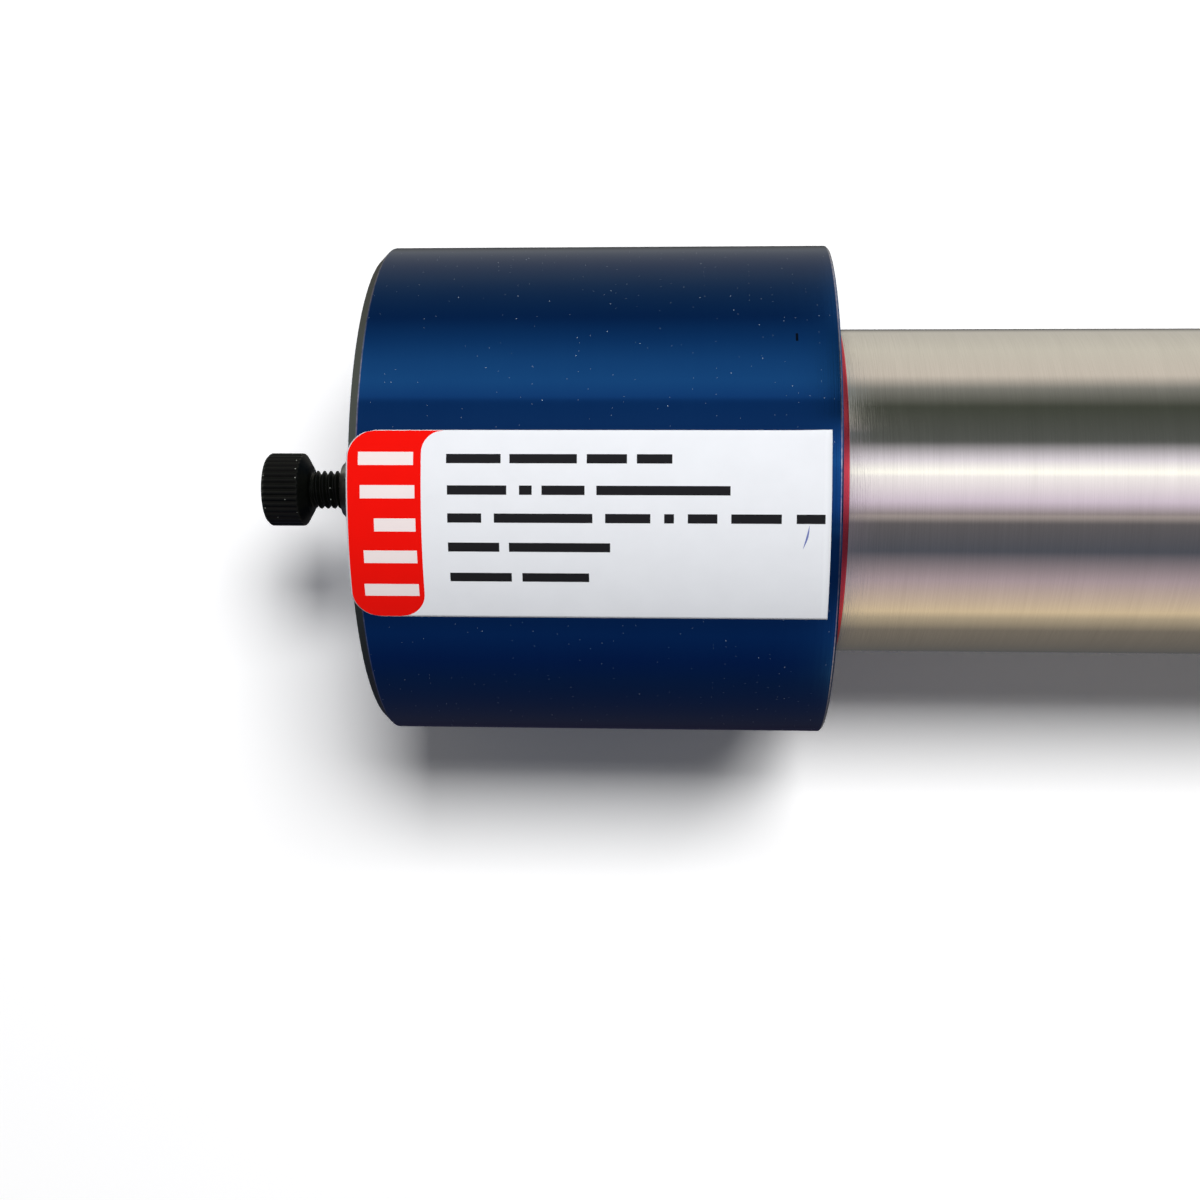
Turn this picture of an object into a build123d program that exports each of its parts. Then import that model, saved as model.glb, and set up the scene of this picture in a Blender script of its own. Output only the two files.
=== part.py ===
from build123d import *
import math
import os

# Preparative HPLC column, lying on its side. Millimetres.
# Row frame: X runs along the column from inlet to outlet, Z is up, and the
# origin is midway between the end caps, on the surface that the caps lie on.
#
# Every end piece is drawn once in an end frame: its Z axis is the column's
# axis, Z = 0 is the outer face of the end cap and +Z points into the column.

# Column tube and packed bed
bore_diameter = 30.0
bed_length = 250.0
tube_wall = 4.05
tube_end_chamfer = 0.8
bed_clearance = 0.02

# End cap: a screw cap that clamps the end fitting on the tube's end
cap_diameter = 57.15
cap_length = 50.8
cap_end_wall = 9.0
cap_outer_chamfer = 1.0
cap_inner_chamfer = 0.2
cap_thread_clearance = 0.1

# Collar ring: a thin sleeve on the tube in the cap's open end
collar_wall = 0.45
collar_stand_out = 1.55
collar_depth = 6.0
collar_end_gap = 0.4
collar_radial_gap = 0.75
collar_fit = 0.02

# End fitting: boss through the cap, flange on the tube's end, spigot in the bore
boss_diameter = 12.7
boss_stand_out = 6.5
boss_cone_length = 3.25
boss_clearance = 0.2
flange_thickness = 6.0
flange_inset = 1.05
flange_chamfer = 0.5
spigot_length = 10.0
spigot_clearance = 0.05
spigot_lead = 0.5
thrust_washer_thickness = 1.0
thrust_washer_inset = 0.5

# Seal on the spigot
o_ring_section = 2.6
o_ring_fit = 0.02
backup_thickness = 1.2
groove_side_gap = 0.2
groove_setback = 2.0

# Distributor, frit and frit seal, stacked on the spigot's face
distributor_thickness = 2.0
distributor_clearance = 0.1
distributor_hole = 1.2
distributor_spokes = 6
spoke_width = 1.0
spoke_depth = 0.8
spoke_hole_shares = (0.45, 0.9)
frit_thickness = 2.0
frit_seal_width = 2.0
frit_fit = 0.02

# Coned port for a 10-32 fitting, along the boss
thread_diameter = 4.826
thread_pitch = 0.79375
port_relief = 0.6
seat_half_angle = 20.0
seat_mouth_diameter = 3.6
pilot_diameter = 1.6
pilot_length = 2.0
passage_diameter = 0.8

# Knurled plug, with its sealing cone turning on a stem in its nose
plug_thread_clearance = 0.1
plug_turns_engaged = 9
plug_exposed_thread = 3.85
plug_neck_length = 1.0
plug_neck_diameter = 4.9
plug_head_diameter = 8.8
plug_head_length = 4.4
plug_head_chamfer = 0.45
knurl_ribs = 36
knurl_depth = 0.28
cone_seat_gap = 0.05
cone_tip_gap = 0.15
cone_collar_length = 0.4
cone_stem_diameter = 1.8
cone_stem_length = 3.0
cone_stem_clearance = 0.05

# Label: a thin wrap on the inlet cap, a little past the cap's outer chamfer
label_thickness = 0.1
label_gap = 0.02
label_height = 19.9
label_outer_margin = 0.05
label_inner_margin = 1.2
label_corner = 3.0
label_turn = 7.9

# Stations along the end frame, from the cap's outer face inwards
washer_start = cap_end_wall
flange_start = washer_start + thrust_washer_thickness
tube_end = flange_start + flange_thickness
spigot_end = tube_end + spigot_length
distributor_end = spigot_end + distributor_thickness
bed_start = distributor_end + frit_thickness
boss_tip = -boss_stand_out
plug_nose = boss_tip + plug_turns_engaged * thread_pitch
plug_neck_start = boss_tip - plug_exposed_thread
plug_head_start = plug_neck_start - plug_neck_length
plug_end = plug_head_start - plug_head_length
collar_seat = cap_length - collar_depth

# Radii that several pieces share
bore_radius = bore_diameter / 2
tube_radius = bore_radius + tube_wall
cap_radius = cap_diameter / 2
cap_bore_radius = tube_radius + cap_thread_clearance
boss_radius = boss_diameter / 2
spigot_radius = bore_radius - spigot_clearance
flange_radius = tube_radius - flange_inset
groove_radius = bore_radius - o_ring_section
port_radius = thread_diameter / 2
plug_thread_radius = port_radius - plug_thread_clearance
frit_radius = bore_radius - frit_seal_width
seat_mouth_radius = seat_mouth_diameter / 2
pilot_radius = pilot_diameter / 2
seat_slope = math.tan(math.radians(seat_half_angle))

# Where the two end frames stand in the row frame
half_length = bed_length / 2 + bed_start
inlet_frame = Plane(origin=(-half_length, 0, cap_radius), x_dir=(0, 0, 1), z_dir=(1, 0, 0))
outlet_frame = Plane(origin=(half_length, 0, cap_radius), x_dir=(0, 0, 1), z_dir=(-1, 0, 0))


def turned(*points):
    # One revolved solid from its section's corners, each (radius, station).
    section = make_face(Polyline(*[(r, 0, z) for r, z in points], close=True))
    return revolve(section, Axis.Z, 360)


def tube_between(inner, outer, start, end):
    return turned((inner, start), (outer, start), (outer, end), (inner, end))


def disc(radius, start, end):
    return tube_between(0, radius, start, end)


def end_cap():
    hole = boss_radius + boss_clearance
    seat_radius = tube_radius + collar_wall + collar_radial_gap
    return turned(
        (hole, 0),
        (cap_radius - cap_outer_chamfer, 0),
        (cap_radius, cap_outer_chamfer),
        (cap_radius, cap_length - cap_inner_chamfer),
        (cap_radius - cap_inner_chamfer, cap_length),
        (seat_radius, cap_length),
        (seat_radius, collar_seat),
        (cap_bore_radius, collar_seat),
        (cap_bore_radius, cap_end_wall),
        (hole, cap_end_wall),
    )


def collar_ring():
    inner = tube_radius + collar_fit
    outer = tube_radius + collar_wall
    return tube_between(inner, outer, collar_seat + collar_end_gap, cap_length + collar_stand_out)


def thrust_washer():
    inner = boss_radius + boss_clearance
    outer = flange_radius - thrust_washer_inset
    return tube_between(inner, outer, washer_start, flange_start)


def groove_start():
    return tube_end + groove_setback


def o_ring_start():
    return groove_start() + backup_thickness + groove_side_gap


def groove_end():
    return o_ring_start() + o_ring_section + groove_side_gap


def seat_depth():
    return (seat_mouth_radius - pilot_radius) / seat_slope


def coned_port():
    # The space bored out of the boss: thread, coned seat, pilot and passage.
    seat_start = plug_nose + port_relief
    seat_end = seat_start + seat_depth()
    pilot_end = seat_end + pilot_length
    passage_radius = passage_diameter / 2
    return turned(
        (0, boss_tip),
        (port_radius, boss_tip),
        (port_radius, seat_start),
        (seat_mouth_radius, seat_start),
        (pilot_radius, seat_end),
        (pilot_radius, pilot_end),
        (passage_radius, pilot_end),
        (passage_radius, spigot_end),
        (0, spigot_end),
    )


def end_fitting():
    body = turned(
        (0, boss_tip),
        (boss_radius - boss_cone_length, boss_tip),
        (boss_radius, boss_tip + boss_cone_length),
        (boss_radius, flange_start),
        (flange_radius - flange_chamfer, flange_start),
        (flange_radius, flange_start + flange_chamfer),
        (flange_radius, tube_end),
        (spigot_radius, tube_end),
        (spigot_radius, groove_start()),
        (groove_radius, groove_start()),
        (groove_radius, groove_end()),
        (spigot_radius, groove_end()),
        (spigot_radius, spigot_end - spigot_lead),
        (spigot_radius - spigot_lead, spigot_end),
        (0, spigot_end),
    )
    return body - coned_port()


def o_ring():
    mean_radius = (groove_radius + bore_radius) / 2
    centre = Plane.XZ * Pos(mean_radius, o_ring_start() + o_ring_section / 2)
    return revolve(centre * Circle(o_ring_section / 2 - o_ring_fit), Axis.Z, 360)


def backup_ring():
    start = groove_start() + groove_side_gap / 2
    inner = groove_radius + o_ring_fit
    outer = bore_radius - o_ring_fit
    return tube_between(inner, outer, start, start + backup_thickness)


def distributor_plate():
    # Channels spread the flow from the centre, and holes pass it to the frit.
    radius = bore_radius - distributor_clearance
    reach = frit_radius * max(spoke_hole_shares)
    plate = disc(radius, spigot_end, distributor_end)
    for angle in range(0, 360, 360 // distributor_spokes):
        turn = Rot(0, 0, angle)
        channel = Box(reach, spoke_width, spoke_depth, align=(Align.MIN, Align.CENTER, Align.MIN))
        plate -= turn * Pos(0, 0, spigot_end) * channel
        for share in spoke_hole_shares:
            hole = disc(distributor_hole / 2, spigot_end, distributor_end)
            plate -= turn * Pos(frit_radius * share, 0, 0) * hole
    return plate


def frit():
    return disc(frit_radius - frit_fit, distributor_end, bed_start)


def frit_seal():
    return tube_between(frit_radius, bore_radius - frit_fit, distributor_end, bed_start)


def knurled_head():
    # Straight ribs all round, trimmed to a turned form with broken edges.
    form = turned(
        (0, plug_end),
        (plug_head_diameter / 2 - plug_head_chamfer, plug_end),
        (plug_head_diameter / 2, plug_end + plug_head_chamfer),
        (plug_head_diameter / 2, plug_head_start),
        (plug_neck_diameter / 2, plug_neck_start),
        (0, plug_neck_start),
    )
    corners = []
    for step in range(2 * knurl_ribs):
        radius = plug_head_diameter / 2 - knurl_depth * (step % 2)
        angle = math.pi * step / knurl_ribs
        corners.append((radius * math.cos(angle), radius * math.sin(angle)))
    ribbed = extrude(make_face(Polyline(*corners, close=True)), plug_neck_start - plug_end)
    return form & (Pos(0, 0, plug_end) * ribbed)


def plug():
    shank = disc(plug_thread_radius, plug_neck_start, plug_nose)
    stem_hole = disc(
        cone_stem_diameter / 2 + cone_stem_clearance,
        plug_nose - cone_stem_length - cone_tip_gap,
        plug_nose,
    )
    return knurled_head() + shank - stem_hole


def plug_cone():
    # Turns on its stem in the plug's nose and seals on the port's coned seat.
    start = plug_nose + cone_tip_gap
    collar_end = start + cone_collar_length
    seat_start = plug_nose + port_relief
    gap = cone_seat_gap / math.cos(math.radians(seat_half_angle))
    collar_radius = seat_mouth_radius - gap - (collar_end - seat_start) * seat_slope
    tip_radius = pilot_radius - gap
    tip = collar_end + (collar_radius - tip_radius) / seat_slope
    stem_radius = cone_stem_diameter / 2
    stem_end = plug_nose - cone_stem_length
    return turned(
        (0, stem_end),
        (stem_radius, stem_end),
        (stem_radius, start),
        (collar_radius, start),
        (collar_radius, collar_end),
        (tip_radius, tip),
        (0, tip),
    )


def column_label():
    # An outline with two rounded corners, wrapped on the cap as a thin shell.
    end = cap_length - label_inner_margin
    length = end - label_outer_margin
    inner = cap_radius + label_gap
    shell = tube_between(inner, inner + label_thickness, label_outer_margin, end)
    outline = Pos(0, 0, end - length / 2) * Rot(0, 90, 0) * Rectangle(length, label_height)
    outline = fillet(outline.vertices().group_by(Axis.Z)[0], label_corner)
    block = extrude(outline, 2 * cap_radius, dir=(1, 0, 0))
    return Rot(0, 0, label_turn) * (shell & block)


def column_tube():
    outer_end = tube_radius - tube_end_chamfer
    far_end = 2 * half_length - tube_end
    return turned(
        (bore_radius, tube_end),
        (outer_end, tube_end),
        (tube_radius, tube_end + tube_end_chamfer),
        (tube_radius, far_end - tube_end_chamfer),
        (outer_end, far_end),
        (bore_radius, far_end),
    )


def packed_bed():
    return disc(bore_radius - bed_clearance, bed_start, bed_start + bed_length)


END_PIECES = {
    "end_cap": end_cap,
    "collar_ring": collar_ring,
    "thrust_washer": thrust_washer,
    "end_fitting": end_fitting,
    "backup_ring": backup_ring,
    "o_ring": o_ring,
    "distributor_plate": distributor_plate,
    "frit": frit,
    "frit_seal": frit_seal,
    "plug": plug,
    "plug_cone": plug_cone,
}


def save(node, solid):
    export_step(solid, f"parts/{node}.step")


os.makedirs("parts", exist_ok=True)
for piece, make in END_PIECES.items():
    solid = make()
    save(f"inlet_{piece}", inlet_frame.location * solid)
    save(f"outlet_{piece}", outlet_frame.location * solid)
save("column_tube", inlet_frame.location * column_tube())
save("packed_bed", inlet_frame.location * packed_bed())
save("column_label", inlet_frame.location * column_label())
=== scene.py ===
import bpy
import bmesh
import math
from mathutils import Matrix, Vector


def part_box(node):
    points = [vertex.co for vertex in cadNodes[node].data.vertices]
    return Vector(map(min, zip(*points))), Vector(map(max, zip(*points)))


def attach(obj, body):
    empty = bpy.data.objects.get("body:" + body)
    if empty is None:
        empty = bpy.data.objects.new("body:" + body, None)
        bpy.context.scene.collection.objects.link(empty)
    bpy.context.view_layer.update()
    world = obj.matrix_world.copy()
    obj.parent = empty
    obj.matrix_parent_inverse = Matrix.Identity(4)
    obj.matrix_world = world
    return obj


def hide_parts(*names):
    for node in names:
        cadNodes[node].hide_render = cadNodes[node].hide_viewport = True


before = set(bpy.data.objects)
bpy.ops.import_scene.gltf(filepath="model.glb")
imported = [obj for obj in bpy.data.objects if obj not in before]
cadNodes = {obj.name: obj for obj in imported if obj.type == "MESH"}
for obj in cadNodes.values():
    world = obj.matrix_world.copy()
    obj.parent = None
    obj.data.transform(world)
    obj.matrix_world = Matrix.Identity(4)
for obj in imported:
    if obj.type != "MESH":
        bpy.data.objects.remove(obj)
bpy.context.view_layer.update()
mm = 0.001

# the column's axis and its two ends, read from the frame
tubeLow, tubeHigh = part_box("column_tube")
inletLow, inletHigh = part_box("inlet_end_cap")
outletLow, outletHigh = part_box("outlet_end_cap")
axisY = (tubeLow.y + tubeHigh.y) / 2
axisZ = (tubeLow.z + tubeHigh.z) / 2
tubeRadius = (tubeHigh.y - tubeLow.y) / 2 / mm
capRadius = (inletHigh.y - inletLow.y) / 2 / mm
capLength = (inletHigh.x - inletLow.x) / mm
capFace = -inletLow.x / mm  # how far the caps' outer faces stand from the middle
ends = {
    "inlet": {"face": inletLow.x, "inward": 1},
    "outlet": {"face": outletHigh.x, "inward": -1},
}


class Socket:
    # wraps a node's output, so that sums and products add Math nodes
    def __init__(self, tree, link):
        self.tree = tree
        self.link = link

    def other(self, index):
        # another output of the same node
        return Socket(self.tree, self.link.node.outputs[index])

    def maths(self, operation, *others):
        return mathsNode(self.tree, operation, self, *others)

    def __add__(self, other):
        return self.maths("ADD", other)

    def __radd__(self, other):
        return self.maths("ADD", other)

    def __sub__(self, other):
        return self.maths("SUBTRACT", other)

    def __rsub__(self, other):
        return mathsNode(self.tree, "SUBTRACT", other, self)

    def __mul__(self, other):
        return self.maths("MULTIPLY", other)

    def __rmul__(self, other):
        return self.maths("MULTIPLY", other)

    def __truediv__(self, other):
        return self.maths("DIVIDE", other)

    def __gt__(self, other):
        return self.maths("GREATER_THAN", other)

    def __lt__(self, other):
        return self.maths("LESS_THAN", other)

    def power(self, other):
        return self.maths("POWER", other)

    def clamped(self):
        return self.maths("MINIMUM", 1.0).maths("MAXIMUM", 0.0)


def mathsNode(tree, operation, *values):
    node = tree.nodes.new("ShaderNodeMath")
    node.operation = operation
    for slot, value in zip(node.inputs, values):
        plug(tree, slot, value)
    return Socket(tree, node.outputs[0])


def plug(tree, slot, value):
    if isinstance(value, Socket):
        tree.links.new(value.link, slot)
    else:
        slot.default_value = value


class Shader:
    # a node tree, and one method that adds any node to it
    def __init__(self, tree):
        self.tree = tree
        tree.nodes.clear()

    def add(self, kind, settings=None, output=0, **values):
        node = self.tree.nodes.new("ShaderNode" + kind)
        for name, value in (settings or {}).items():
            if name == "stops":
                setStops(node.color_ramp, value)
            else:
                setattr(node, name, value)
        for name, value in values.items():
            plug(self.tree, openSlot(node, name), value)
        return Socket(self.tree, node.outputs[output]) if node.outputs else node

    def mix(self, factor, first, second):
        return self.add("Mix", {"data_type": "RGBA"}, output=2, Factor=factor, A=first, B=second)

    def mixSurfaces(self, factor, first, second):
        # both shader inputs have the same name, so they are plugged by their order
        mixed = self.add("MixShader", Fac=factor)
        for index, surface in ((1, first), (2, second)):
            plug(self.tree, mixed.link.node.inputs[index], surface)
        return mixed

    def noise(self, where, scale, detail=3.0, roughness=0.5):
        return self.add("TexNoise", Vector=where, Scale=scale, Detail=detail, Roughness=roughness)

    def bump(self, height, strength, distance):
        return self.add("Bump", Height=height, Strength=strength, Distance=distance)


def openSlot(node, name):
    wanted = name.replace("_", " ").lower()
    for slot in node.inputs:
        if slot.enabled and slot.name.lower() == wanted:
            return slot
    raise KeyError(f"{node.bl_idname} has no input called {name}")


def setStops(colorRamp, stops):
    while len(colorRamp.elements) > 1:
        colorRamp.elements.remove(colorRamp.elements[-1])
    for index, (place, shade) in enumerate(stops):
        element = colorRamp.elements[0] if index == 0 else colorRamp.elements.new(place)
        element.position = place
        element.color = rgba(shade)


def rgba(shade):
    return (*shade, 1.0) if isinstance(shade, tuple) else (shade, shade, shade, 1.0)


def newMaterial(name):
    material = bpy.data.materials.new(name)
    material.use_nodes = True
    return material, Shader(material.node_tree)


def placeInMm(shader):
    place = shader.add("TexCoord", output=3)
    return shader.add("VectorMath", {"operation": "SCALE"}, Vector=place, Scale=1 / mm)


def columnPlaces(shader, place):
    # the way along the column, the angle round it and the distance from its axis
    along = shader.add("SeparateXYZ", Vector=place)
    across = along.other(1) - axisY / mm
    up = along.other(2) - axisZ / mm
    angle = across.maths("ARCTAN2", up)
    reach = (across * across + up * up).power(0.5)
    return along, angle, reach


def cells(shader, along, arc, size):
    # square cells, each with the distance from its own speck and a number by chance
    where = shader.add("CombineXYZ", X=along / size, Y=arc / size)
    options = {"voronoi_dimensions": "2D"}
    distance = shader.add("TexVoronoi", options, Vector=where, Scale=1.0)
    chance = shader.add("TexVoronoi", options, output=1, Vector=where, Scale=1.0)
    return distance, shader.add("SeparateColor", Color=chance)


# materials
capFinish = {
    "dye": (0.0105, 0.076, 0.252),
    "dyeDeep": (0.0075, 0.060, 0.222),
    "roughness": 0.085,
    "roughnessSpread": 0.06,
    "turningPerMm": 9.0,
    "turningDepth": 0.08,
    "dust": (0.50, 0.56, 0.62),
    "dustCell": 3.2,
    "dustKept": 0.22,
    "dustSize": 0.014,
    "fineCell": 0.37,
    "fineStart": 31.7,
    "rimShare": 0.9,
    # painted reflection: a dark neutral grey for the outer chamfer, standing in for its coat
    # mirroring the dim room
    "chamferReflectionGrey": (0.115, 0.125, 0.115),
    "chamferRoughness": 0.36,
    "edgeInsets": (0.03, 0.22),
    "edgeWidth": 0.075,
    # violet for the two turned edges: partly rubbed wear, partly a painted edge highlight
    "edge": (0.36, 0.35, 0.46),
    "nick": (-108.75, 16.7),
    "nickSize": (0.13, 0.5),
    "nickColor": 0.004,
}


def anodisedCap(name, finish, chamfer):
    material, shader = newMaterial(name)
    place = placeInMm(shader)
    along, angle, reach = columnPlaces(shader, place)
    arc = angle * capRadius
    turning = shader.add("CombineXYZ", X=along * finish["turningPerMm"], Y=reach, Z=arc * 0.02)
    rings = shader.noise(turning, 1.0, 4.0)
    distance, chance = cells(shader, along, arc, finish["dustCell"])
    fineCell = finish["dustCell"] * finish["fineCell"]
    fine, fineChance = cells(shader, along + finish["fineStart"], arc, fineCell)
    big = (distance < finish["dustSize"]) * (chance > 1 - finish["dustKept"])
    small = (fine < finish["dustSize"] * 1.5) * (fineChance > 1 - finish["dustKept"] * 0.8)
    dust = (big + small).clamped()
    cloud = shader.noise(place, 0.12, 3.0)
    drawn = shader.add("CombineXYZ", X=along * 0.9, Y=arc * 0.06, Z=reach)
    streaks = shader.noise(drawn, 1.0, 5.0, 0.7)
    depth = (cloud * 0.6 + streaks * 0.4).clamped()
    dyed = shader.mix(depth, rgba(finish["dyeDeep"]), rgba(finish["dye"]))
    # painted reflection: the outer chamfer is dark grey; the two turned edges are worn bright with
    # a painted highlight
    inward = capFace - along.maths("ABSOLUTE")
    atRim = reach > capRadius * finish["rimShare"]
    # the outer chamfer's band, which gets the painted reflection grey and extra roughness
    paintedReflectionChamfer = (inward > 0.04) * (inward < chamfer - 0.02) * atRim
    first, last = finish["edgeInsets"]
    edges = [
        (inward - station).maths("ABSOLUTE") < finish["edgeWidth"]
        for station in (chamfer + first, capLength - last)
    ]
    # a noise breaks the two rim lines up; they are partly rubbed wear and partly a painted
    # highlight
    edgeScuffAndGlint = shader.noise(place, 1.1, 4.0, 0.7)
    wornEdgeHighlight = (edges[0] + edges[1]) * atRim * (edgeScuffAndGlint * 2.6 - 0.55).clamped()
    chamfered = shader.mix(paintedReflectionChamfer, dyed, rgba(finish["chamferReflectionGrey"]))
    # the rim lines take the violet edge colour, a painted highlight over the wear
    worn = shader.mix(wornEdgeHighlight * 0.8, chamfered, rgba(finish["edge"]))
    # one short black nick near the open end
    nickAlong, nickArc = finish["nick"]
    length, width = finish["nickSize"]
    nick = (along - nickAlong).maths("ABSOLUTE") < length
    nick = nick * ((arc - nickArc).maths("ABSOLUTE") < width)
    marked = shader.mix(nick * 0.9, worn, rgba(finish["nickColor"]))
    color = shader.mix(dust * 0.8, marked, rgba(finish["dust"]))
    rough = finish["roughness"] + (streaks - 0.5) * finish["roughnessSpread"] + dust * 0.4
    rough = rough + paintedReflectionChamfer * finish["chamferRoughness"] + nick * 0.5
    surface = shader.add(
        "BsdfPrincipled",
        Base_Color=color,
        Metallic=1 - dust,
        Roughness=rough.clamped(),
        Normal=shader.bump(rings, finish["turningDepth"], 0.00001),
    )
    shader.add("OutputMaterial", Surface=surface)
    return material


steelFinish = {
    "light": (0.69, 0.672, 0.652),
    "dark": (0.57, 0.555, 0.535),
    "roughness": 0.07,
    "roughnessSpread": 0.04,
    "lineRoughness": 0.08,
    "linesPerMm": 8.0,
    "lineStretch": 0.12,
    "bandsPerMm": 0.55,
    "lineDepth": 0.10,
    "endLines": 0.05,
    "endReach": 16.0,
}


def groundSteel(name, finish):
    material, shader = newMaterial(name)
    along, angle, reach = columnPlaces(shader, placeInMm(shader))
    arc = angle * tubeRadius
    fineAlong, fineArc = along * finish["linesPerMm"], arc * finish["lineStretch"]
    fine = shader.add("CombineXYZ", X=fineAlong, Y=fineArc, Z=reach)
    lines = shader.noise(fine, 1.0, 5.0, 0.62)
    coarse = shader.add(
        "CombineXYZ", X=along * finish["bandsPerMm"], Y=arc * 0.03, Z=reach * 0.5
    )
    bands = shader.noise(coarse, 1.0, 4.0, 0.6)
    # the grinding marks show most beside the collars
    shown = along.maths("ABSOLUTE") - (capFace - capLength - finish["endReach"])
    nearEnd = (shown / finish["endReach"]).clamped()
    marks = nearEnd * finish["endLines"] + finish["lineDepth"]
    shade = ((lines - 0.5) * (1.1 + nearEnd) + (bands - 0.5) * 0.8 + 0.5).clamped()
    rough = finish["roughness"] + (bands - 0.5) * finish["roughnessSpread"]
    rough = rough + (lines - 0.5) * finish["lineRoughness"]
    surface = shader.add(
        "BsdfPrincipled",
        Base_Color=shader.mix(shade, rgba(finish["dark"]), rgba(finish["light"])),
        Metallic=1.0,
        Roughness=rough.clamped(),
        Normal=shader.bump(lines, marks, 0.000012),
    )
    shader.add("OutputMaterial", Surface=surface)
    return material


def plainFinish(name, color, roughness, metallic=0.0, grain=1.6, depth=0.15, spread=0.12):
    # mottled colour and roughness with a fine grain, for small and inner pieces
    material, shader = newMaterial(name)
    place = placeInMm(shader)
    mottle = shader.noise(place, grain, 5.0, 0.6)
    fine = shader.noise(place, grain * 9, 3.0, 0.6)
    darker = tuple(channel * (1 - spread * 2) for channel in color)
    surface = shader.add(
        "BsdfPrincipled",
        Base_Color=shader.mix(mottle, rgba(darker), rgba(color)),
        Metallic=metallic,
        Roughness=(roughness + (mottle - 0.5) * spread * 2).clamped(),
        Normal=shader.bump(fine, depth, 0.00002),
    )
    shader.add("OutputMaterial", Surface=surface)
    return material


plugFinish = {
    "color": (0.0015, 0.0018, 0.0012),
    "worn": (0.0050, 0.0060, 0.0042),
    "fleck": (0.30, 0.31, 0.28),
    "roughness": 0.40,
    "gloss": 0.20,
    "fleckCell": 1.3,
    "fleckSize": 0.05,
    "fleckKept": 0.25,
}


def mouldedPlastic(name, finish):
    material, shader = newMaterial(name)
    place = placeInMm(shader)
    along, angle, reach = columnPlaces(shader, place)
    grain = shader.noise(place, 6.0, 5.0, 0.65)
    haze = shader.noise(place, 0.9, 3.0)
    distance, chance = cells(shader, along, angle * reach, finish["fleckCell"])
    fleck = (distance < finish["fleckSize"]) * (chance > 1 - finish["fleckKept"])
    base = shader.mix((haze * 0.7).clamped(), rgba(finish["color"]), rgba(finish["worn"]))
    surface = shader.add(
        "BsdfPrincipled",
        Base_Color=shader.mix(fleck, base, rgba(finish["fleck"])),
        Roughness=(finish["roughness"] + (grain - 0.5) * 0.25).clamped(),
        Specular_IOR_Level=finish["gloss"],
        Normal=shader.bump(grain, 0.25, 0.00003),
    )
    shader.add("OutputMaterial", Surface=surface)
    return material


def labelInk(name, color, roughness, gloss=0.12):
    material, shader = newMaterial(name)
    place = placeInMm(shader)
    cloud = shader.noise(place, 0.35, 3.0)
    grain = shader.noise(place, 5.0, 3.0)
    darker = tuple(channel * 0.94 for channel in color)
    surface = shader.add(
        "BsdfPrincipled",
        Base_Color=shader.mix(cloud, rgba(darker), rgba(color)),
        Roughness=(roughness + (cloud - 0.5) * 0.1).clamped(),
        Specular_IOR_Level=gloss,
        Normal=shader.bump(grain, 0.05, 0.00002),
    )
    shader.add("OutputMaterial", Surface=surface)
    return material


# turned meshes
def rounded(corners, steps=4, hold=0.05):
    # corners are (station, radius, rounding) in millimetres; each is softened by an arc
    outline = []
    for index, (station, radius, rounding) in enumerate(corners):
        here = Vector((station, radius))
        if rounding == 0:
            outline.append(here)
            continue
        back = (Vector(corners[index - 1][:2]) - here).normalized()
        ahead = (Vector(corners[(index + 1) % len(corners)][:2]) - here).normalized()
        half = back.angle(ahead) / 2
        reach = rounding / math.tan(half)
        centre = here + (back + ahead).normalized() * rounding / math.sin(half)
        first, last = here + back * reach, here + ahead * reach
        outline.append(first + back * hold)
        for step in range(steps + 1):
            chord = first.lerp(last, step / steps) - centre
            outline.append(centre + chord.normalized() * rounding)
        outline.append(last + ahead * hold)
    return [tuple(point) for point in outline]


def turned(name, outline, end, material, segments=192, shape=None):
    # revolves a closed outline of (station, radius) about the column's axis; the
    # stations are millimetres inward from the end's face
    corners, faces = [], []
    rows = len(outline)
    for step in range(segments):
        angle = 2 * math.pi * step / segments
        for station, radius in outline:
            reach = (shape(station, radius, angle) if shape else radius) * mm
            x = end["face"] + end["inward"] * station * mm
            corners.append((x, axisY + reach * math.sin(angle), axisZ + reach * math.cos(angle)))
        after = (step + 1) % segments
        for row in range(rows):
            nextRow = (row + 1) % rows
            here, there = step * rows, after * rows
            faces.append((here + row, here + nextRow, there + nextRow, there + row))
    return meshPiece(name, corners, faces, [material])


def meshPiece(name, corners, faces, materials, slots=None):
    mesh = bpy.data.meshes.new(name)
    mesh.from_pydata(corners, [], faces)
    if slots:
        mesh.polygons.foreach_set("material_index", slots)
    work = bmesh.new()
    work.from_mesh(mesh)
    bmesh.ops.remove_doubles(work, verts=work.verts, dist=1e-8)
    bmesh.ops.dissolve_degenerate(work, dist=1e-9, edges=work.edges)
    bmesh.ops.recalc_face_normals(work, faces=work.faces)
    work.to_mesh(mesh)
    work.free()
    mesh.shade_smooth()
    for material in materials:
        mesh.materials.append(material)
    piece = bpy.data.objects.new(name, mesh)
    bpy.context.scene.collection.objects.link(piece)
    return piece


def stand(piece, body, slot, *nodes):
    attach(piece, body)
    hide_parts(*nodes)


def stationsOf(low, high, end):
    # where a box begins and ends, in millimetres inward from the end's face
    return sorted(end["inward"] * (x - end["face"]) / mm for x in (low.x, high.x))


# end caps and collar rings
capShape = {
    "outerChamfer": 1.0,
    "innerChamfer": 0.2,
    "holeRadius": 6.55,
    "endWall": 9.0,
    "seatDepth": 6.0,
    "ringWall": 0.45,
    "ringGap": 0.75,
    "threadClearance": 0.1,
    "edge": 0.08,
    "segments": 256,
}


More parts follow.
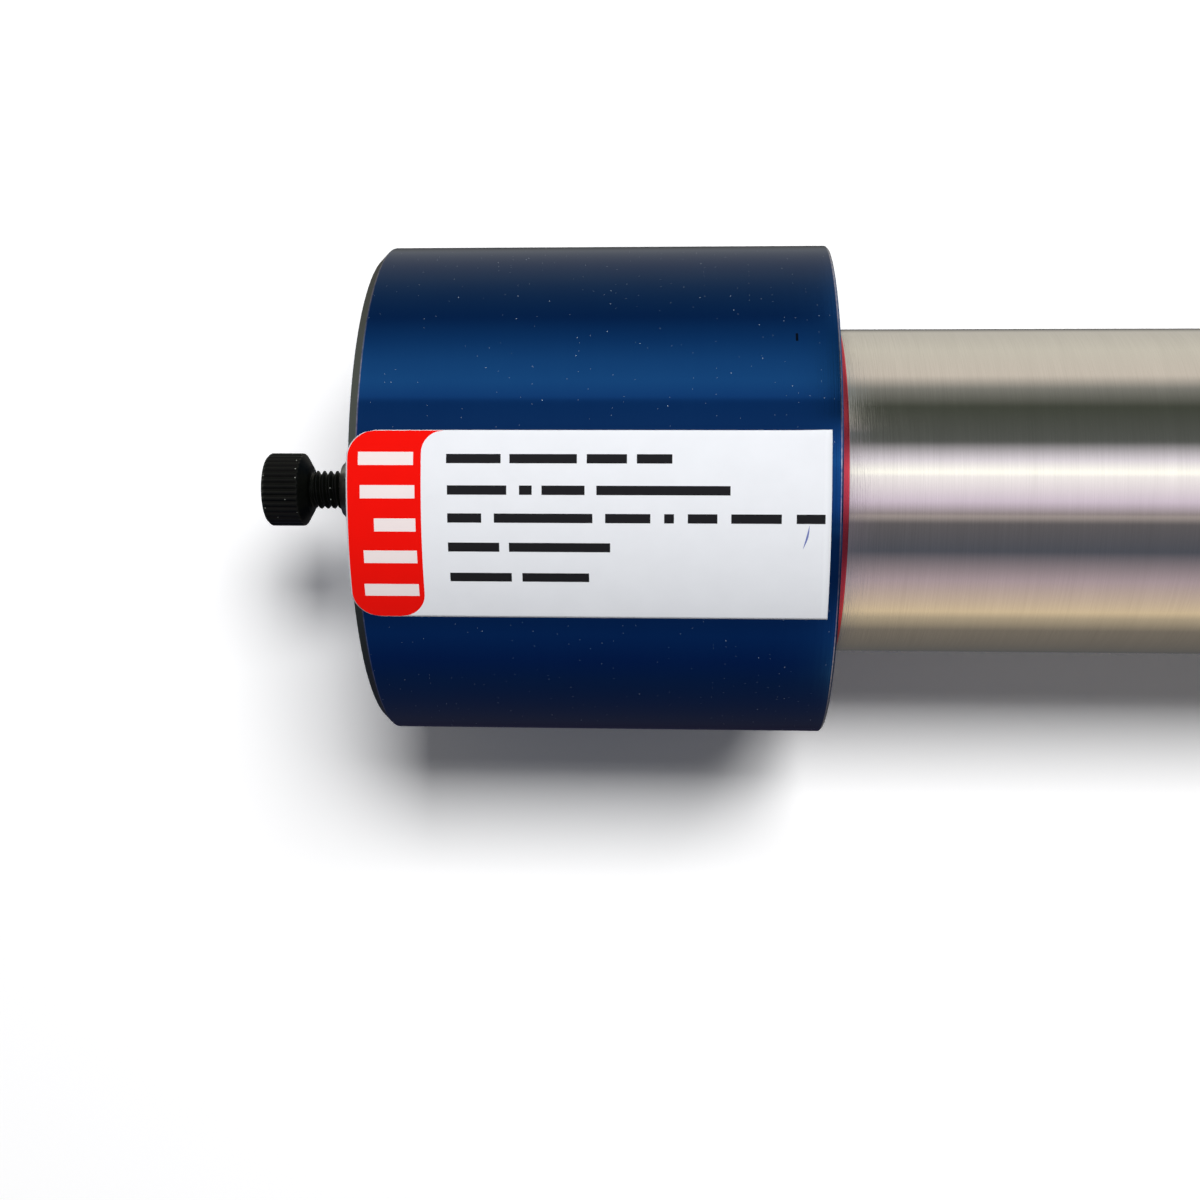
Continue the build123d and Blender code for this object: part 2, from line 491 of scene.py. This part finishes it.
def makeCap(side, material):
    size = capShape
    soft = size["edge"]
    bore = tubeRadius + size["threadClearance"]
    seat = tubeRadius + size["ringWall"] + size["ringGap"]
    seatStart = capLength - size["seatDepth"]
    outline = rounded([
        (0, size["holeRadius"], soft),
        (0, capRadius - size["outerChamfer"], soft),
        (size["outerChamfer"], capRadius, soft),
        (capLength - size["innerChamfer"], capRadius, soft),
        (capLength, capRadius - size["innerChamfer"], soft),
        (capLength, seat, soft),
        (seatStart, seat, soft),
        (seatStart, bore, soft),
        (size["endWall"], bore, soft),
        (size["endWall"], size["holeRadius"], soft),
    ])
    cap = turned(f"{side}Cap", outline, ends[side], material, size["segments"])
    stand(cap, "root", "cap_blue", f"{side}_end_cap")


collarShape = {"gap": 0.02, "innerEdge": 0.04, "outerEdge": 0.1, "segments": 256}


def makeCollar(side, material):
    size = collarShape
    end = ends[side]
    low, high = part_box(f"{side}_collar_ring")
    start, finish = stationsOf(low, high, end)
    outer = (high.y - low.y) / 2 / mm
    inner = tubeRadius + size["gap"]
    outline = rounded([
        (start, inner, size["innerEdge"]),
        (start, outer, size["outerEdge"]),
        (finish, outer, size["outerEdge"]),
        (finish, inner, size["innerEdge"]),
    ])
    collar = turned(f"{side}Collar", outline, end, material, size["segments"])
    stand(collar, "root", "ring_red", f"{side}_collar_ring")


# column tube
tubeShape = {
    "boreRadius": 15.0,
    "endChamfer": 0.8,
    "edge": 0.1,
    "stretches": 60,
    "segments": 192,
}


def makeTube(material):
    end = ends["inlet"]
    first, last = stationsOf(tubeLow, tubeHigh, end)
    chamfer, soft = tubeShape["endChamfer"], tubeShape["edge"]
    start, finish = first + chamfer, last - chamfer
    stretches = [
        (start + (finish - start) * step / tubeShape["stretches"], tubeRadius, 0)
        for step in range(1, tubeShape["stretches"])
    ]
    outline = rounded([
        (first, tubeShape["boreRadius"], soft),
        (first, tubeRadius - chamfer, soft),
        (start, tubeRadius, soft),
        *stretches,
        (finish, tubeRadius, soft),
        (last, tubeRadius - chamfer, soft),
        (last, tubeShape["boreRadius"], soft),
    ])
    tube = turned("groundTube", outline, end, material, tubeShape["segments"])
    stand(tube, "root", "tube_steel", "column_tube")


# end fittings
fittingShape = {
    "bossRadius": 6.35,
    "cone": 3.25,
    "flangeStart": 10.0,
    "flangeRadius": 18.0,
    "tubeEnd": 16.0,
    "spigotRadius": 14.95,
    "grooveStart": 18.0,
    "grooveEnd": 22.2,
    "grooveRadius": 12.4,
    "portRadius": 2.413,
    "seatMouth": 1.8,
    "relief": 0.6,
    "pilotRadius": 0.8,
    "pilotLength": 2.0,
    "seatLength": 2.7475,
    "passageRadius": 0.4,
    "edge": 0.12,
    "fineEdge": 0.05,
    "tipEdge": 0.08,
    "backEdge": 0.4,
    "segments": 128,
}


def makeFitting(side, material, nose):
    size = fittingShape
    end = ends[side]
    low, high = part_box(f"{side}_end_fitting")
    tip, back = stationsOf(low, high, end)
    soft, fine = size["edge"], size["fineEdge"]
    seatStart = nose + size["relief"]
    seatEnd = seatStart + size["seatLength"]
    pilotEnd = seatEnd + size["pilotLength"]
    outline = rounded([
        (tip, size["portRadius"], size["tipEdge"]),
        (tip, size["bossRadius"] - size["cone"], soft),
        (tip + size["cone"], size["bossRadius"], soft),
        (size["flangeStart"], size["bossRadius"], soft),
        (size["flangeStart"], size["flangeRadius"], soft),
        (size["tubeEnd"], size["flangeRadius"], soft),
        (size["tubeEnd"], size["spigotRadius"], fine),
        (size["grooveStart"], size["spigotRadius"], soft),
        (size["grooveStart"], size["grooveRadius"], soft),
        (size["grooveEnd"], size["grooveRadius"], soft),
        (size["grooveEnd"], size["spigotRadius"], soft),
        (back, size["spigotRadius"], size["backEdge"]),
        (back, size["passageRadius"], fine),
        (pilotEnd, size["passageRadius"], fine),
        (pilotEnd, size["pilotRadius"], fine),
        (seatEnd, size["pilotRadius"], fine),
        (seatStart, size["seatMouth"], fine),
        (seatStart, size["portRadius"], fine),
    ])
    fitting = turned(f"{side}Fitting", outline, end, material, size["segments"])
    stand(fitting, "root", "fitting_steel", f"{side}_end_fitting")


# knurled plugs
plugShape = {
    "headRadius": 4.4,
    "headChamfer": 0.45,
    "headLength": 4.4,
    "neckLength": 1.0,
    "neckRadius": 2.45,
    "shoulderRadius": 2.9,
    "headEdge": 0.25,
    "backEdge": 0.3,
    "shoulderEdge": 0.12,
    "fineEdge": 0.05,
    "ribs": 36,
    "ribDepth": 0.30,
    "ribValley": (0.35, 0.85),
    "ribRows": 8,
    "ribRowStep": 0.4,
    "threadRadius": 2.30,
    "threadDepth": 0.46,
    "threadCrest": (1.35, 0.17),
    "pitch": 0.79375,
    "rowsPerPitch": 10,
    "stemHoleRadius": 0.95,
    "stemHoleDepth": 3.15,
    "segments": 216,
}


def smoothStep(low, high, value):
    t = min(max((value - low) / (high - low), 0.0), 1.0)
    return t * t * (3 - 2 * t)


def makePlug(side, material):
    size = plugShape
    end = ends[side]
    low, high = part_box(f"{side}_plug")
    outer, nose = stationsOf(low, high, end)
    headEnd = outer + size["headLength"]
    neckEnd = headEnd + size["neckLength"]
    head, chamfer = size["headRadius"], size["headChamfer"]

    def between(station, first, firstFull, lastFull, last):
        return smoothStep(first, firstFull, station) * (1 - smoothStep(lastFull, last, station))

    def shape(station, radius, angle):
        turn = angle / (2 * math.pi)
        if station < headEnd + 0.4 * size["neckLength"] and radius > head - 2 * chamfer:
            wave = abs((angle * size["ribs"] / (2 * math.pi)) % 1 - 0.5) * 2
            held = between(station, outer + 0.05, outer + 0.5, headEnd - 0.3, headEnd + 0.1)
            return radius - size["ribDepth"] * smoothStep(*size["ribValley"], wave) * held
        if station > neckEnd and radius > size["stemHoleRadius"] + 0.3:
            wave = abs(2 * ((end["inward"] * station / size["pitch"] + turn) % 1) - 1)
            steepness, flat = size["threadCrest"]
            crest = min(max(wave * steepness - flat, 0.0), 1.0)
            fade = between(station, neckEnd, neckEnd + 0.3, nose - 0.5, nose - 0.05)
            return radius - size["threadDepth"] * (1 - crest * fade)
        return radius

    ribStart = outer + chamfer + 0.35
    fine = size["fineEdge"]
    rise = [
        (outer, 0, 0),
        (outer, head - chamfer, size["headEdge"]),
        (outer + chamfer, head, size["headEdge"]),
        *[(ribStart + size["ribRowStep"] * row, head, 0) for row in range(size["ribRows"])],
        (headEnd, head, size["backEdge"]),
        (neckEnd - 0.1, size["shoulderRadius"], size["shoulderEdge"]),
        (neckEnd, size["neckRadius"], fine),
        (neckEnd, size["threadRadius"], 0),
    ]
    rows = int((nose - neckEnd) / size["pitch"] * size["rowsPerPitch"])
    shank = [
        (neckEnd + (nose - neckEnd) * (row + 0.5) / rows, size["threadRadius"], 0)
        for row in range(rows)
    ]
    holeEnd = nose - size["stemHoleDepth"]
    hole = [
        (nose, size["threadRadius"] - size["threadDepth"], 0),
        (nose, size["stemHoleRadius"], fine),
        (holeEnd, size["stemHoleRadius"], fine),
        (holeEnd, 0, 0),
    ]
    outline = rounded([*rise, *shank, *hole], 3)
    piece = turned(f"{side}Plug", outline, end, material, size["segments"], shape)
    stand(piece, f"{side}_plug", "plug_black", f"{side}_plug")
    return nose


# label
labelShape = {
    "height": 19.9,
    "corner": 3.0,
    "turn": math.radians(7.9),
    "gap": 0.02,
    "thickness": 0.09,
    "step": 0.25,
    "columns": 60,
    "liftReach": 4.0,
    "lift": 0.22,
}
# headings are (arc, first, last) and lines are (arc, [(first, last), ...]), in millimetres
labelPrint = {
    "redWidth": 7.75,
    "redFlare": 2.3,
    "redTail": 2.7,
    "margin": 0.14,
    "headings": [
        (7.0, 1.3, 7.0),
        (3.6, 1.5, 7.15),
        (0.2, 2.9, 7.2),
        (-3.15, 1.7, 7.25),
        (-6.8, 1.55, 7.25),
    ],
    "headingHeight": 1.35,
    "lines": [
        (7.0, [(10.4, 16.0), (16.9, 23.8), (24.8, 28.9), (29.9, 33.5)]),
        (3.8, [(10.5, 16.6), (17.9, 19.2), (20.2, 24.6), (25.8, 39.4)]),
        (0.95, [
            (10.5, 14.0),
            (15.3, 25.4),
            (26.7, 31.3),
            (32.7, 33.7),
            (35.1, 38.1),
            (39.5, 44.6),
            (46.1, 49.0),
        ]),
        (-2.07, [(10.5, 15.8), (16.8, 27.2)]),
        (-5.3, [(10.6, 17.0), (18.1, 25.0)]),
    ],
    "lineHeight": 0.95,
    "penMark": [(47.4, 0.3), (46.8, -2.1)],
    "penWidth": 0.2,
    "redLift": 0.004,
    "redStep": 0.12,
    "barLift": 0.008,
    "barStep": 0.5,
}


class LabelSheet:
    # gathers curved patches that lie on the cap, each at its own small lift
    def __init__(self):
        self.corners, self.faces, self.slots = [], [], []
        low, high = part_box("column_label")
        self.start = (low.x - ends["inlet"]["face"]) / mm
        self.end = (high.x - ends["inlet"]["face"]) / mm
        self.top = labelShape["height"] / 2

    def place(self, along, arc, lift):
        curl = smoothStep(self.end - labelShape["liftReach"], self.end, along)
        curl *= smoothStep(self.top - labelShape["liftReach"], self.top, arc)
        reach = capRadius + labelShape["gap"] + lift + labelShape["lift"] * curl
        angle = arc / capRadius - labelShape["turn"]
        x = ends["inlet"]["face"] + along * mm
        y = axisY + reach * mm * math.sin(angle)
        z = axisZ + reach * mm * math.cos(angle)
        self.corners.append((x, y, z))
        return len(self.corners) - 1

    def patch(self, left, right, bottom, top, lift, slot, columns, step=None):
        # rows of faces between a left and a right edge, each a function of the arc
        rows = max(1, round((top - bottom) / (step or labelShape["step"])))
        grid = []
        for row in range(rows + 1):
            arc = bottom + (top - bottom) * row / rows
            near, far = left(arc), right(arc)
            stations = [near + (far - near) * column / columns for column in range(columns + 1)]
            grid.append([self.place(station, arc, lift) for station in stations])
        for row in range(rows):
            for column in range(columns):
                low, high = grid[row], grid[row + 1]
                self.faces.append((low[column], low[column + 1], high[column + 1], high[column]))
                self.slots.append(slot)
        return grid

    def rim(self, upper, lower, slot):
        # closes the sheet's edge between its two faces
        loops = []
        for grid in (upper, lower):
            side = [row[-1] for row in grid]
            back = [row[0] for row in grid]
            loops.append(grid[0] + side[1:] + grid[-1][-2::-1] + back[-2:0:-1])
        for index in range(len(loops[0])):
            after = (index + 1) % len(loops[0])
            self.faces.append((loops[0][index], loops[1][index], loops[1][after], loops[0][after]))
            self.slots.append(slot)


def cornerInset(arc, radius, edge):
    beyond = abs(arc) - (edge - radius)
    return radius - math.sqrt(max(radius * radius - beyond * beyond, 0.0)) if beyond > 0 else 0.0


def straight(station):
    return lambda arc: station


def makeLabel(materials):
    sheet = LabelSheet()
    corner, top = labelShape["corner"], sheet.top
    thick = labelShape["thickness"]
    printed = labelPrint

    def leftEdge(arc):
        return sheet.start + cornerInset(arc, corner, top)

    columns = labelShape["columns"]
    upper = sheet.patch(leftEdge, straight(sheet.end), -top, top, thick, 0, columns)
    lower = sheet.patch(leftEdge, straight(sheet.end), -top, top, 0.0, 0, columns)
    sheet.rim(upper, lower, 0)

    margin, width = printed["margin"], printed["redWidth"]
    edge = top - margin * 0.4

    def redLeft(arc):
        return sheet.start + margin + cornerInset(arc, corner - margin, edge)

    def redRight(arc):
        flare = arc - (edge - printed["redFlare"])
        tail = -arc - (edge - printed["redTail"])
        if flare > 0:
            radius = printed["redFlare"]
            curve = math.sqrt(max(radius * radius - flare * flare, 0.0))
            return sheet.start + width + radius - curve
        if tail > 0:
            return sheet.start + width - cornerInset(arc, printed["redTail"], edge)
        return sheet.start + width

    redLift, barLift = thick + printed["redLift"], thick + printed["barLift"]
    sheet.patch(redLeft, redRight, -edge, edge, redLift, 1, 16, printed["redStep"])
    bars = []
    for arc, first, last in printed["headings"]:
        bars.append((first, last, arc, printed["headingHeight"], 2))
    for arc, words in printed["lines"]:
        for first, last in words:
            bars.append((first, last, arc, printed["lineHeight"], 3))
    for first, last, arc, height, slot in bars:
        columns = max(2, round((last - first) / printed["barStep"]))
        below, above = arc - height / 2, arc + height / 2
        sheet.patch(straight(first), straight(last), below, above, barLift, slot, columns)
    (topX, topArc), (lowX, lowArc) = printed["penMark"]

    def penLeft(arc):
        return lowX + (topX - lowX) * (arc - lowArc) / (topArc - lowArc)

    def penRight(arc):
        share = min(max((arc - lowArc) / (topArc - lowArc), 0.02), 0.98)
        return penLeft(arc) + printed["penWidth"] * math.sin(math.pi * share)

    sheet.patch(penLeft, penRight, lowArc, topArc, barLift, 4, 1)
    label = meshPiece("printedLabel", sheet.corners, sheet.faces, materials, sheet.slots)
    stand(label, "root", "label_paper", "column_label")


# floor, lights, world and camera

# The floor is plain and pale. The camera sees it a little brighter than it is, and it
# fades to the white backdrop between two distances from the middle, in metres.
floorLook = {
    "size": 4.0,
    "color": (0.86, 0.86, 0.87),
    "seen": (1.19, 1.19, 1.19),
    "fade": (0.32, 0.75),
}


def makeFloor():
    half = floorLook["size"] / 2
    corners = [(-half, -half, 0), (half, -half, 0), (half, half, 0), (-half, half, 0)]
    material, shader = newMaterial("paleFloor")
    isCamera = shader.add("LightPath")
    color = shader.mix(isCamera, rgba(floorLook["color"]), rgba(floorLook["seen"]))
    surface = shader.add("BsdfDiffuse", Color=color)
    backdrop = shader.add("Emission", Color=rgba(1.0), Strength=1.0)
    place = shader.add("TexCoord", output=3)
    away = shader.add("VectorMath", {"operation": "LENGTH"}, output=1, Vector=place)
    first, last = floorLook["fade"]
    faded = isCamera * ((away - first) / (last - first)).clamped()
    shader.add("OutputMaterial", Surface=shader.mixSurfaces(faded, surface, backdrop))
    mesh = bpy.data.meshes.new("floor")
    mesh.from_pydata(corners, [], [(0, 1, 2, 3)])
    mesh.materials.append(material)
    floor = bpy.data.objects.new("floor", mesh)
    floor.visible_glossy = False
    bpy.context.scene.collection.objects.link(floor)


# A long window lights the column from above and a little behind, brightest at its near
# end. The bearing is in degrees from straight above, towards +Y. Shiny pieces mirror
# the room instead of the lamps.
lampShape = {
    "bearing": 25,
    "distance": 1.5,
    "windowNear": {"along": 0.20, "length": 0.35, "breadth": 0.45, "power": 13.2},
    "windowFar": {"along": 0.55, "length": 0.35, "breadth": 0.55, "power": 9.8},
}


def makeLamp(name):
    size = lampShape[name]
    bearing = math.radians(lampShape["bearing"])
    lamp = bpy.data.lights.new(name, "AREA")
    lamp.shape = "RECTANGLE"
    lamp.size, lamp.size_y = size["length"], size["breadth"]
    lamp.energy = size["power"]
    holder = bpy.data.objects.new(name, lamp)
    holder.location = (
        inletLow.x + size["along"],
        axisY + lampShape["distance"] * math.sin(bearing),
        axisZ + lampShape["distance"] * math.cos(bearing),
    )
    holder.rotation_euler = (-bearing, 0, 0)
    holder.visible_glossy = False
    bpy.context.scene.collection.objects.link(holder)


# What shiny pieces mirror, as bands by bearing in degrees from straight above: a long
# overhead window, dark walls, paler benches and the dim floor beneath. The tube's side
# of the room, towards +X, is brighter and warmer than the cap's. The fill lights the
# rest. The walls past the column's ends are pale towards +Y and dim towards -Y.
roomLook = {
    "fill": (0.12, 0.12, 0.125),
    "pastEnd": (0.62, 0.64, 0.60),
    "pastEndDim": (0.08, 0.09, 0.11),
    "pastEndStart": 0.70,
    "pastEndBlend": 0.1,
    "boundary": 0.098,
    "blend": 0.003,
    "overCap": [
        (-155, (0.02, 0.02, 0.04)),
        (-100, (0.10, 0.11, 0.15)),
        (-85, (0.09, 0.12, 0.20)),
        (-70, (0.14, 0.19, 0.27)),
        (-50, (0.15, 0.14, 0.18)),
        (10, (0.32, 0.25, 0.34)),
        (30, (0.42, 0.37, 0.42)),
        (40.5, (0.32, 0.34, 0.40)),
        (42, (0.68, 0.62, 0.66)),
        (50, (0.90, 0.85, 0.78)),
        (60, (0.70, 0.70, 0.67)),
        (72, (0.36, 0.42, 0.45)),
        (85, (0.16, 0.20, 0.25)),
        (115, (0.38, 0.33, 0.27)),
        (150, (0.28, 0.28, 0.26)),
        (165, 0.05),
    ],
    "overTube": [
        (-165, 0.10),
        (-115, (0.25, 0.22, 0.18)),
        (-100, (0.60, 0.50, 0.35)),
        (-93, (0.95, 0.76, 0.50)),
        (-65, (0.60, 0.48, 0.52)),
        (-42, (0.11, 0.12, 0.15)),
        (-22, (0.17, 0.16, 0.17)),
        (-17, (0.55, 0.48, 0.46)),
        (-16, (0.38, 0.33, 0.33)),
        (-7, (0.97, 0.84, 1.00)),
        (10, (1.40, 1.35, 1.35)),
        (12.5, (1.75, 1.75, 1.60)),
        (21, (1.12, 1.06, 1.16)),
        (34, (0.13, 0.14, 0.13)),
        (60, (0.08, 0.09, 0.07)),
        (75, (0.30, 0.30, 0.27)),
        (87, (0.88, 0.80, 0.70)),
        (115, (0.86, 0.82, 0.71)),
        (150, (0.65, 0.62, 0.55)),
        (165, 0.12),
    ],
}


def rampStops(bands):
    return [(0.5 + bearing / 360, shade) for bearing, shade in bands]


def makeWorld():
    world = bpy.data.worlds.new("room")
    bpy.context.scene.world = world
    world.use_nodes = True
    shader = Shader(world.node_tree)
    direction = shader.add("TexCoord", output=0)
    along = shader.add("SeparateXYZ", Vector=direction)
    across, up = along.other(1), along.other(2)
    share = across.maths("ARCTAN2", up) / (2 * math.pi) + 0.5
    sides = [
        shader.add("ValToRGB", {"stops": rampStops(roomLook[name])}, Fac=share)
        for name in ("overCap", "overTube")
    ]
    towardsTube = ((along - roomLook["boundary"]) / roomLook["blend"] + 0.5).clamped()
    pastEnd = along.maths("ABSOLUTE") - roomLook["pastEndStart"]
    pastEnd = (pastEnd / roomLook["pastEndBlend"]).clamped()
    paler = (across * 2.5 + 0.75).clamped()
    wall = shader.mix(paler, rgba(roomLook["pastEndDim"]), rgba(roomLook["pastEnd"]))
    room = shader.mix(pastEnd, shader.mix(towardsTube, *sides), wall)
    isGlossy = shader.add("LightPath", output=3)
    isCamera = shader.add("LightPath")
    color = shader.mix(isGlossy, rgba(roomLook["fill"]), room)
    color = shader.mix(isCamera, color, rgba(1.0))
    shader.add("OutputWorld", Surface=shader.add("Background", Color=color, Strength=1.0))


# in millimetres from the middle of the inlet cap's face, degrees and pixels
cameraPlace = {
    "place": (34.77, -0.94, 183.53),
    "tilt": (3.827, -3.157, -0.401),
    "focal": 1522.3,
    "imageSide": 1200,
}


def makeCamera():
    camera = bpy.data.cameras.new("camera")
    camera.sensor_width = 36.0
    camera.lens = cameraPlace["focal"] / cameraPlace["imageSide"] * camera.sensor_width
    camera.clip_start = 0.005
    holder = bpy.data.objects.new("camera", camera)
    x, y, z = cameraPlace["place"]
    holder.location = (ends["inlet"]["face"] + x * mm, axisY + y * mm, axisZ + z * mm)
    holder.rotation_mode = "ZYX"
    holder.rotation_euler = [-math.radians(turn) for turn in cameraPlace["tilt"]]
    bpy.context.scene.collection.objects.link(holder)
    bpy.context.scene.camera = holder


makeCamera()
makeWorld()
makeFloor()
makeLamp("windowNear")
makeLamp("windowFar")
print("stage: camera, room, floor and lamps made")

capBlue = anodisedCap("capBlue", capFinish, capShape["outerChamfer"])
ringRed = plainFinish(
    "ringRed", (0.66, 0.070, 0.105), 0.22, metallic=1.0, grain=1.2, depth=0.08, spread=0.10
)
tubeSteel = groundSteel("tubeSteel", steelFinish)
fittingSteel = plainFinish(
    "fittingSteel", (0.40, 0.385, 0.36), 0.30, metallic=1.0, grain=1.5, depth=0.12, spread=0.10
)
plugBlack = mouldedPlastic("plugBlack", plugFinish)
print("stage: main finishes made")

for side in ends:
    makeCap(side, capBlue)
    makeCollar(side, ringRed)
    plugNose = makePlug(side, plugBlack)
    makeFitting(side, fittingSteel, plugNose)
makeTube(tubeSteel)
makeLabel([
    labelInk("labelFilm", (0.90, 0.92, 0.96), 0.45),
    labelInk("labelRed", (0.96, 0.006, 0.003), 0.45),
    labelInk("labelPink", (0.97, 0.86, 0.85), 0.45),
    labelInk("labelBlack", (0.014, 0.014, 0.016), 0.5),
    labelInk("labelPen", (0.16, 0.20, 0.50), 0.5),
])
print("stage: outer pieces made")



def finishNode(name, material):
    slots = cadNodes[name].data.materials
    slots.clear()
    slots.append(material)


innerFinishes = {
    "thrust_washer": plainFinish("washerPolymer", (0.74, 0.68, 0.55), 0.45),
    "backup_ring": plainFinish("sealWhite", (0.86, 0.86, 0.84), 0.38),
    "o_ring": plainFinish("sealBlack", (0.018, 0.018, 0.018), 0.5),
    "distributor_plate": plainFinish("plateSteel", (0.62, 0.60, 0.57), 0.3, metallic=1.0),
    "frit": plainFinish(
        "fritSteel", (0.42, 0.41, 0.39), 0.6, metallic=1.0, grain=5.0, depth=0.8, spread=0.25
    ),
    "frit_seal": plainFinish("fritSealWhite", (0.86, 0.86, 0.84), 0.38),
    "plug_cone": plainFinish("conePolymer", (0.60, 0.47, 0.28), 0.35),
}
for side in ends:
    for part, material in innerFinishes.items():
        finishNode(f"{side}_{part}", material)
bedSilica = plainFinish("bedSilica", (0.88, 0.88, 0.86), 0.85, grain=4.0, depth=0.6)
finishNode("packed_bed", bedSilica)
print("stage: inner pieces finished")

bpy.context.scene.view_settings.view_transform = "Standard"
